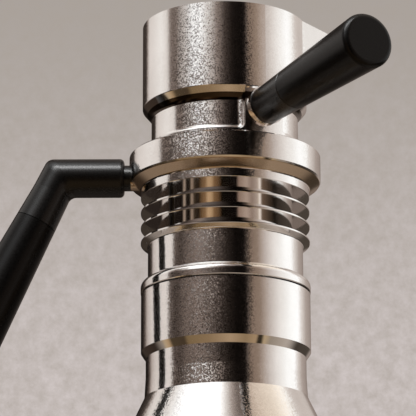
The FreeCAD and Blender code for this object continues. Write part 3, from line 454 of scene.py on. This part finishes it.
MIDDLE_PANELS = [
    (-180, 0.06), (-150, 0.04), (-142, 0.06), (-137, 0.34), (-131, 0.76), (-118, 0.80), (-100, 0.94),
    (-89, 0.82), (-83, 0.28), (-76, 0.19), (-70, 0.25), (-57, 0.78), (-45, 1.34), (-34, 1.40), (-22, 0.86),
    (-11, 0.30), (0, 0.06), (10, 0.012), (24, 0.004), (28, 0.006), (33, 0.22), (44, 0.31), (56, 0.50),
    (68, 0.76), (82, 0.98), (98, 1.16), (108, 1.02), (116, 0.70), (128, 0.62), (140, 0.66), (180, 0.30)]
TOP_PANELS = [
    (-180, 0.30), (-154, 0.35), (-147, 0.06), (-139, 0.08), (-130, 0.40), (-120, 0.62), (-114, 0.28),
    (-108, 0.26), (-103, 0.55), (-96, 1.00), (-86, 1.30), (-70, 1.40), (-14, 1.40), (-2, 0.85), (10, 0.40),
    (24, 0.12), (34, 0.40), (48, 0.62), (64, 0.78), (84, 0.90), (104, 1.15), (116, 0.80), (128, 0.35),
    (140, 0.45), (180, 0.50)]
PANEL_PEAK = 1.4

# The same for what lies below the horizon, first far off and then close by: dark, with warm patches
# in front and paler ones beside them.
FLOOR_TONES = [
    (-180, colour(0.035, 0.027, 0.021)), (-130, colour(0.03, 0.02, 0.015)),
    (-100, colour(0.012, 0.009, 0.007)), (-78, colour(0.006, 0.004, 0.003)),
    (-74, colour(0.34, 0.26, 0.20)), (-70, colour(0.010, 0.007, 0.005)),
    (-63, colour(0.008, 0.006, 0.004)), (-59, colour(0.26, 0.19, 0.14)),
    (-54, colour(0.03, 0.02, 0.012)), (-46, colour(0.012, 0.008, 0.005)),
    (-40, colour(0.12, 0.068, 0.032)), (-34, colour(0.19, 0.11, 0.055)),
    (-29, colour(0.42, 0.28, 0.16)), (-23, colour(0.36, 0.235, 0.13)),
    (-19, colour(0.17, 0.095, 0.045)), (-12, colour(0.10, 0.055, 0.026)),
    (-6, colour(0.004, 0.003, 0.002)), (19, colour(0.003, 0.002, 0.002)),
    (23, colour(0.22, 0.15, 0.115)), (36, colour(0.34, 0.26, 0.21)),
    (46, colour(0.22, 0.16, 0.13)), (57, colour(0.36, 0.29, 0.24)),
    (61, colour(0.75, 0.67, 0.60)), (65, colour(0.12, 0.08, 0.055)),
    (78, colour(0.05, 0.033, 0.022)), (92, colour(0.008, 0.006, 0.004)),
    (104, colour(0.03, 0.023, 0.018)), (130, colour(0.05, 0.04, 0.032)),
    (180, colour(0.05, 0.04, 0.032))]
NEAR_FLOOR_TONES = [
    (-180, colour(0.10, 0.08, 0.07)), (-140, colour(0.26, 0.22, 0.19)),
    (-106, colour(0.26, 0.215, 0.18)), (-101, colour(0.36, 0.27, 0.17)),
    (-95, colour(0.30, 0.20, 0.11)), (-90, colour(0.05, 0.035, 0.02)),
    (-70, colour(0.045, 0.03, 0.018)), (-64, colour(0.15, 0.10, 0.05)),
    (-30, colour(0.19, 0.125, 0.068)), (8, colour(0.29, 0.20, 0.12)),
    (34, colour(0.20, 0.135, 0.075)), (51, colour(0.28, 0.19, 0.11)),
    (55, colour(0.02, 0.015, 0.01)), (60, colour(0.02, 0.015, 0.01)),
    (64, colour(0.34, 0.25, 0.15)), (74, colour(0.22, 0.18, 0.14)),
    (110, colour(0.38, 0.33, 0.29)), (140, colour(0.26, 0.22, 0.19)),
    (180, colour(0.10, 0.08, 0.07))]

# Heights over the tent's middle, as shares of its radius, between which each row takes over.
WAIST_RISE = (0.20, 0.32)
MIDDLE_RISE = (0.33, 0.39)
TOP_RISE = (0.60, 0.80)
HORIZON = (0.02, -0.12)
NEAR_FLOOR_FALL = (-0.38, -0.55)

# A warm cast on the cloth: it starts right of the dark panels and ends further round in the top row.
WARM_CAST = colour(1.0, 0.91, 0.80)
WARM_START = (28, 34)
WARM_END = (60, 46)
WARM_TOP_END = (130, 104)
WARM_TOP_RISE = (0.60, 0.72)

# Level folds in the cloth: their fineness along each axis, the noise at a valley and at a crest with the
# shade of both, and the depth of the shades from the first height to the second.
FOLD_SCALES = (0.6, 0.6, 20.0)
FOLD_NOISE = (0.43, 0.60)
FOLD_SHADES = (-1.0, 1.25)
FOLD_HEIGHTS = (0.20, 0.40)
FOLD_DEPTHS = (0.90, 0.20)
FOLD_TOP = (0.60, 0.50)
FOLD_LEFT_END = (-86, -78)
FOLD_RIGHT_END = (25, 10)

HANDLE_LAMP_PLACE = Vector((-0.07, -0.34, 0.67))
HANDLE_LAMP_AIM = Vector((-0.07, 0.0, 0.16))
HANDLE_LAMP_SIZE = (0.55, 0.15)
HANDLE_LAMP_POWER = 4.0


def warm_grey(level):
    """The tone of a panel: neutral when bright and brown when dim."""
    share = level / PANEL_PEAK
    return colour(share, share * min(1.0, 0.73 + 0.245 * level), share * min(1.0, 0.60 + 0.34 * level))


def turns(*angles):
    """Directions in degrees as shares of a turn, from 0 behind the maker round to 1."""
    return [(angle + 180) / 360 for angle in angles]


def tone_stops(rows):
    return [(*turns(angle), tone) for angle, tone in rows]


def panel_stops(rows):
    return tone_stops([(angle, warm_grey(level)) for angle, level in rows])


def panelled_wall(tree, turn, lift):
    """The rows of panels, one over the other, with the warm cast over them."""
    wall = tree.ramp(turn, panel_stops(LOW_PANELS))
    for rows, rise in ((WAIST_PANELS, WAIST_RISE), (MIDDLE_PANELS, MIDDLE_RISE), (TOP_PANELS, TOP_RISE)):
        above = tree.between(lift, *rise, smooth=True)
        wall = tree.mix(above, wall, tree.ramp(turn, panel_stops(rows)))
    cast = tree.product(tree.between(lift, *WARM_TOP_RISE), tree.between(turn, *turns(*WARM_TOP_END)))
    cast = tree.math("MAXIMUM", cast, tree.between(turn, *turns(*WARM_END)))
    cast = tree.product(cast, tree.between(turn, *turns(*WARM_START)))
    return tree.mix(cast, wall, WARM_CAST, "MULTIPLY")


def folds(tree, place, turn, lift):
    """Level folds in the cloth to the left of the camera, which the metal's grain picks up."""
    shade = tree.noise(tree.vector("MULTIPLY", place, FOLD_SCALES), 1.0, 0.0)
    shade = tree.between(shade, *FOLD_NOISE, *FOLD_SHADES)
    depth = tree.product(
        tree.between(lift, *FOLD_HEIGHTS, *FOLD_DEPTHS), tree.between(lift, *FOLD_TOP),
        tree.between(turn, *turns(*FOLD_LEFT_END)), tree.between(turn, *turns(*FOLD_RIGHT_END)))
    return tree.math("ADD", tree.product(shade, depth), 1.0)


def make_tent():
    """A round wall with a domed top that shines as soft panels do. The camera doesn't see it."""
    bpy.ops.mesh.primitive_uv_sphere_add(
        segments=64, ring_count=32, radius=TENT_RADIUS, location=(0, 0, TENT_EYE))
    tent = bpy.context.object
    tent.name = "light_tent"
    tent.visible_camera = False
    material = bpy.data.materials.new("light_tent")
    tree = Tree(material)
    place = tree.put("TexCoord").outputs["Object"]
    across, depth, rise = tree.parts(place)
    angle = tree.math("ARCTAN2", across, tree.product(depth, -1.0))
    turn = tree.math("ADD", tree.math("DIVIDE", angle, 2 * math.pi), 0.5)
    lift = tree.math("DIVIDE", rise, TENT_RADIUS)
    wall = tree.mix(1.0, panelled_wall(tree, turn, lift), folds(tree, place, turn, lift), "MULTIPLY")
    far, near = [tree.ramp(turn, tone_stops(rows)) for rows in (FLOOR_TONES, NEAR_FLOOR_TONES)]
    floor = tree.mix(tree.between(lift, *NEAR_FLOOR_FALL, smooth=True), far, near)
    glow = tree.put("Emission")
    tree.join(tree.mix(tree.between(lift, *HORIZON, smooth=True), wall, floor), glow.inputs["Color"])
    glow.inputs["Strength"].default_value = PANEL_PEAK
    output = tree.put("OutputMaterial")
    tree.join(glow.outputs[0], output.inputs["Surface"])
    tent.data.materials.append(material)


def make_handle_lamp():
    """A long soft lamp above and before the maker, for the black handles alone."""
    data = bpy.data.lights.new("handle_lamp", "AREA")
    data.shape = "RECTANGLE"
    data.size, data.size_y = HANDLE_LAMP_SIZE
    data.energy = HANDLE_LAMP_POWER
    lamp = show("handle_lamp", data)
    facing = (HANDLE_LAMP_AIM - HANDLE_LAMP_PLACE).to_track_quat("-Z", "Y")
    lamp.matrix_world = Matrix.Translation(HANDLE_LAMP_PLACE) @ facing.to_matrix().to_4x4()
    lit = bpy.data.collections.new("handle_lamp_receivers")
    for name in FINISHES[black_metal] + FINISHES[black_grip]:
        lit.objects.link(nodes[name])
    lamp.light_linking.receiver_collection = lit


# Plinth and backdrop

PLINTH_RADIUS = 0.085
PLINTH_DEPTH = 0.028
PLINTH_ROUND = 0.006
PLINTH_ROUND_STEPS = 6
PLINTH_STONES = (colour(0.50, 0.44, 0.37), colour(0.56, 0.50, 0.43))

# The wall's tones low and high in the view, its mottle, the light that it gives, and the heights between
# which the first tone gives way to the second.
WALL_LOW = colour(0.62, 0.56, 0.545)
WALL_HIGH = colour(0.395, 0.355, 0.325)
WALL_MOTTLE = colour(0.40, 0.355, 0.315)
WALL_GLOW = colour(0.5, 0.48, 0.46)
WALL_FADE = (0.20, 0.37)


def lathe(name, profile, segments):
    """A smooth piece turned from (radius, height) points about the Z axis."""
    vertices, faces, rings = [], [], []
    for radius, height in profile:
        count = segments if radius else 1
        rings.append([len(vertices) + index for index in range(count)])
        for index in range(count):
            angle = 2 * math.pi * index / segments
            vertices.append((radius * math.cos(angle), radius * math.sin(angle), height))
    for lower, upper in zip(rings, rings[1:]):
        for index in range(segments):
            following = (index + 1) % segments
            corners = [lower[index % len(lower)], lower[following % len(lower)],
                       upper[following % len(upper)], upper[index % len(upper)]]
            faces.append(list(dict.fromkeys(corners)))
    mesh = bpy.data.meshes.new(name)
    mesh.from_pydata(vertices, [], faces)
    mesh.update()
    for polygon in mesh.polygons:
        polygon.use_smooth = True
    return show(name, mesh)


def make_plinth():
    """A pale round plinth with a softened rim, under the base."""
    bends = [math.radians(90 * step / PLINTH_ROUND_STEPS) for step in range(PLINTH_ROUND_STEPS + 1)]
    rim = [(PLINTH_RADIUS - PLINTH_ROUND * (1 - math.sin(bend)), -PLINTH_ROUND * (1 - math.cos(bend)))
           for bend in bends]
    profile = [(0.0, 0.0), *rim, (PLINTH_RADIUS, -PLINTH_DEPTH), (0.0, -PLINTH_DEPTH)]
    plinth = lathe("plinth", profile, 96)
    material, tree, shader, place = surface("plinth_stone")
    cloud = tree.noise(place, 22.0, 5.0, 0.6)
    tree.join(tree.mix(cloud, *PLINTH_STONES), shader.inputs["Base Color"])
    shader.inputs["Roughness"].default_value = 0.7
    tree.join(tree.bump(tree.noise(place, 600.0, 3.0), 0.2, 0.0002), shader.inputs["Normal"])
    plinth.data.materials.append(material)


def make_world():
    """The pale wall behind the maker, softly mottled and a little darker towards the top."""
    world = bpy.data.worlds.new("studio_wall")
    bpy.context.scene.world = world
    tree = Tree(world)
    direction = tree.put("TexCoord").outputs["Generated"]
    height = tree.between(tree.parts(direction)["Z"], *WALL_FADE, smooth=True)
    plain = tree.mix(height, WALL_LOW, WALL_HIGH)
    mottle = tree.noise(direction, 210.0, 5.0, 0.7)
    wall = tree.mix(tree.between(mottle, 0.32, 0.68, 0.0, 0.62), plain, WALL_MOTTLE)
    rays = tree.put("LightPath").outputs
    mirrored = tree.math("MAXIMUM", rays["Is Glossy Ray"], rays["Is Transmission Ray"])
    seen = tree.math("MAXIMUM", rays["Is Camera Ray"], mirrored)
    background = tree.put("Background")
    tree.join(tree.mix(seen, WALL_GLOW, wall), background.inputs["Color"])
    background.inputs["Strength"].default_value = 1.0
    output = tree.put("OutputWorld")
    tree.join(background.outputs[0], output.inputs["Surface"])


# Camera: low in front of the maker, looking up past its neck. Angles in degrees, lens in millimetres.

CAMERA_PLACE = Vector((-0.0068, -1.0, -0.1401))
CAMERA_PITCH = 16.31
CAMERA_ROLL = -0.22
CAMERA_LENS = 227.4
CAMERA_SENSOR = 36.0
CAMERA_REACH = (0.02, 50.0)


def make_camera():
    data = bpy.data.cameras.new("camera")
    data.sensor_width = CAMERA_SENSOR
    data.lens = CAMERA_LENS
    data.clip_start, data.clip_end = CAMERA_REACH
    camera = show("camera", data)
    tilt = Matrix.Rotation(math.radians(90 + CAMERA_PITCH), 4, "X")
    roll = Matrix.Rotation(math.radians(CAMERA_ROLL), 4, "Z")
    camera.matrix_world = Matrix.Translation(CAMERA_PLACE) @ tilt @ roll
    bpy.context.scene.camera = camera


dress_nodes()
for facts in SPRINGS:
    make_spring(*facts)
make_spigot_thread()
make_tent()
make_handle_lamp()
make_plinth()
make_world()
make_camera()
bpy.context.scene.view_settings.view_transform = "Standard"
